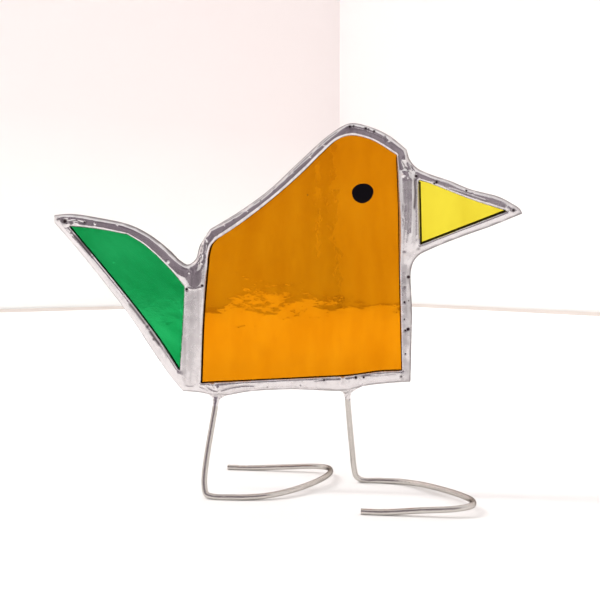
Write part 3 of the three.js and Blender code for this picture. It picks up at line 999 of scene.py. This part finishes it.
# Matt white card. Where its two tones differ they are painted bounce light: lighter low down, near
# the table, and a little warmer and darker higher up.
def cardMaterial(name, low, high):
    material, tree = newMaterial(name)
    place = addNode(tree, "ShaderNodeTexCoord").outputs["Object"]
    split = addNode(tree, "ShaderNodeSeparateXYZ", {"Vector": place})
    # Painted bounce light: from the low tone to the high one between 80 and 240 mm up.
    height = addRange(tree, split.outputs["Z"], 0.08, 0.24)
    addSurface(tree, {
        "Roughness": 0.9,
        "Specular IOR Level": 0.2,
        "Base Color": addTone(tree, height, low, high),
    })
    return material


# A white table top and two sheets of card behind, meeting in a corner, each with a thin strip of
# painted shadow at its foot, for the contact shade where card meets table.
stage = {
    "tableSide": 3000,
    "tableBack": 1800,
    "corner": (-85, 1092, 0),
    "cardHeight": 1500,
    "seamShadowHeight": 4,
    "seamShadowForward": (0, -2, 0),  # just clear of the card
    "table": ("#F7F6F5", "#F7F6F5"),  # tone low down and high up
    # Painted shadow: the darker tone of the strip at the foot of each card.
    "gap": ("#DBD2CC", "#DBD2CC"),
    # On each card, the change from the low tone to the high one is painted bounce light. The left card is
    # also painted a little darker and pinker than the right, as painted shade.
    "cards": {
        "card_left": {"end": (-2000, -560, 0), "tones": ("#F0F0EE", "#ECE4E3")},
        "card_right": {"end": (1600, -516, 0), "tones": ("#F2F1EF", "#EEE9E8")},
    },
}


def makeStage():
    tableTop = cardMaterial("whiteTableTop", *stage["table"])
    # The strip of painted shadow at the foot of each card.
    seamShadowTone = cardMaterial("paintedSeamShadow", *stage["gap"])
    side, back = stage["tableSide"], stage["tableBack"]
    corners = [(-side, -side, 0), (side, -side, 0), (side, back, 0), (-side, back, 0)]
    pieces = [makeObject("table", corners, [(0, 1, 2, 3)], [tableTop])]
    for name, card in stage["cards"].items():
        white = cardMaterial(name, *card["tones"])
        ends = [Vector(stage["corner"]), Vector(card["end"])]
        forward = Vector(stage["seamShadowForward"])
        # Each card, then its strip of painted shadow just in front of its foot.
        for part, material, height, shift in (("", white, stage["cardHeight"], Vector()),
                                              ("_seamShadow", seamShadowTone, stage["seamShadowHeight"], forward)):
            foot = [end + shift for end in ends]
            up = Vector((0, 0, height))
            corners = [foot[0], foot[1], foot[1] + up, foot[0] + up]
            pieces.append(makeObject(name + part, corners, [(0, 1, 2, 3)], [material]))


# A bright room with an unlit side.
def makeRoom():
    world = bpy.data.worlds.new("softRoom")
    world.use_nodes = True
    tree = world.node_tree
    tree.nodes.clear()
    way = addNode(tree, "ShaderNodeTexCoord").outputs["Generated"]
    # The unlit side of the room, in front and up to a high ceiling: only reflections see it.
    split = addNode(tree, "ShaderNodeSeparateXYZ", {"Vector": way})
    level = addNode(tree, "ShaderNodeVectorMath", {"operation": "MULTIPLY", 0: way, 1: (1, 1, 0)})
    bearing = addNode(tree, "ShaderNodeVectorMath", {"operation": "NORMALIZE", 0: level})
    facing = addNode(tree, "ShaderNodeVectorMath",
                     {"operation": "DOT_PRODUCT", 0: bearing, 1: (-0.17, -0.985, 0)})
    ahead = addRange(tree, facing.outputs["Value"], 0.62, 0.74, kind="SMOOTHSTEP")
    ceiling = addRange(tree, split.outputs["Z"], 0.93, 0.87, kind="SMOOTHSTEP")
    dark = addMath(tree, "MULTIPLY", ahead, ceiling)
    things = addNode(tree, "ShaderNodeTexNoise", {"Scale": 3.2, "Detail": 3.0, "Vector": way})
    unlit = addTone(tree, addRange(tree, things, 0.35, 0.62), "#72666F", "#A2979E")
    ray = addNode(tree, "ShaderNodeLightPath").outputs
    mirrored = addMath(tree, "SUBTRACT", ray["Is Glossy Ray"], ray["Is Transmission Ray"])
    mirrored.use_clamp = True
    tone = addTone(tree, addMath(tree, "MULTIPLY", dark, mirrored), "#FFFCFB", unlit)
    sky = addNode(tree, "ShaderNodeBackground", {"Strength": 1.0, "Color": tone})
    addNode(tree, "ShaderNodeOutputWorld", {"Surface": sky})
    bpy.context.scene.world = world


# Soft windows: metres, watts and degrees. The far one, above the back of the table, makes that
# brighter than the card behind it.
lights = {
    "window_light": {"size": (0.16, 0.9), "energy": 9.0, "spread": 180,
                     "place": (-1.0, -0.012, 1.15), "aim": (0, 0, 0.04)},
    "far_light": {"size": (1.3, 0.9), "energy": 1.6, "spread": 34,
                  "place": (0, 0.72, 1.0), "aim": (0, 0.72, 0)},
}


def makeLights():
    for name, light in lights.items():
        data = bpy.data.lights.new(name, "AREA")
        data.shape = "RECTANGLE"
        data.size, data.size_y = light["size"]
        data.energy = light["energy"]
        data.spread = math.radians(light["spread"])
        lamp = addObject(name, data)
        lamp.location = light["place"]
        down = Vector(light["aim"]) - Vector(light["place"])
        lamp.rotation_euler = down.to_track_quat("-Z", "Y").to_euler()
        lamp.visible_glossy = False


# Degrees and millimetres.
view = {"azimuth": 7.7, "elevation": 2.23, "distance": 220.5, "aim": (4.84, 0, 47.0), "lens": 54}


def makeCamera():
    data = bpy.data.cameras.new("camera")
    data.lens = view["lens"]
    data.sensor_width = 36
    data.clip_start = 0.01
    data.clip_end = 20
    camera = addObject("camera", data)
    turn, tilt = math.radians(view["azimuth"]), math.radians(view["elevation"])
    back = Vector((math.sin(turn) * math.cos(tilt), -math.cos(turn) * math.cos(tilt), math.sin(tilt)))
    camera.location = (Vector(view["aim"]) + back * view["distance"]) * mm
    camera.rotation_euler = (-back).to_track_quat("-Z", "Y").to_euler()
    bpy.context.scene.camera = camera


makeCamera()
makeStage()
makeRoom()
makeLights()
bpy.context.scene.view_settings.view_transform = "Standard"

metal = solderMaterial()
bead = makeSolder(metal, foilMaterial())
fillets = [makeFillet(leg + "_fillet", route, metal) for leg, route in legRoutes.items()]
for piece in (bead, *fillets):
    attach(piece, "root")
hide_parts("solder_frame")
print("solder run")

panes = {
    "body": {
        "node": "body_pane",
        "slot": "amber_glass",
        "glass": glassMaterial("amberCathedralGlass", "#D3860B", "#C37404", "#7A3A02", 0.0),
        "dabs": [(20.2, 72.8, 2.55, 2.4), (6.9, 72.5, 0.16, 0.14)],  # the painted eye and a speck
    },
    "tail": {
        "node": "tail_pane",
        "slot": "green_glass",
        "glass": glassMaterial("greenCathedralGlass", "#22A05A", "#0A8540", "#0C4A28", 0.16, -48),
        "bubbles": [(-41.9, 56.3, 0.3, 0.12)],
    },
    "beak": {
        "node": "beak_pane",
        "slot": "yellow_glass",
        "glass": glassMaterial("yellowCathedralGlass", "#E8DA40", "#DDCB37", "#6A6010", 0.0),
        "bubbles": [(36.5, 64.4, 0.3, 0.03), (37.9, 64.4, 0.3, 0.03)],
    },
}
for key, pane in panes.items():
    paint = paintMaterial() if "dabs" in pane else None
    piece = makePane(key, pane["glass"], paint, pane.get("dabs", ()), pane.get("bubbles", ()))
    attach(piece, "root")
    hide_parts(pane["node"])
print("glass cut and set")

tree = wireTree(wireMaterial())
for node in legRoutes:
    leg = makeLeg(node, tree)
    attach(leg, "root")
    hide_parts(node)
print("wires bent")
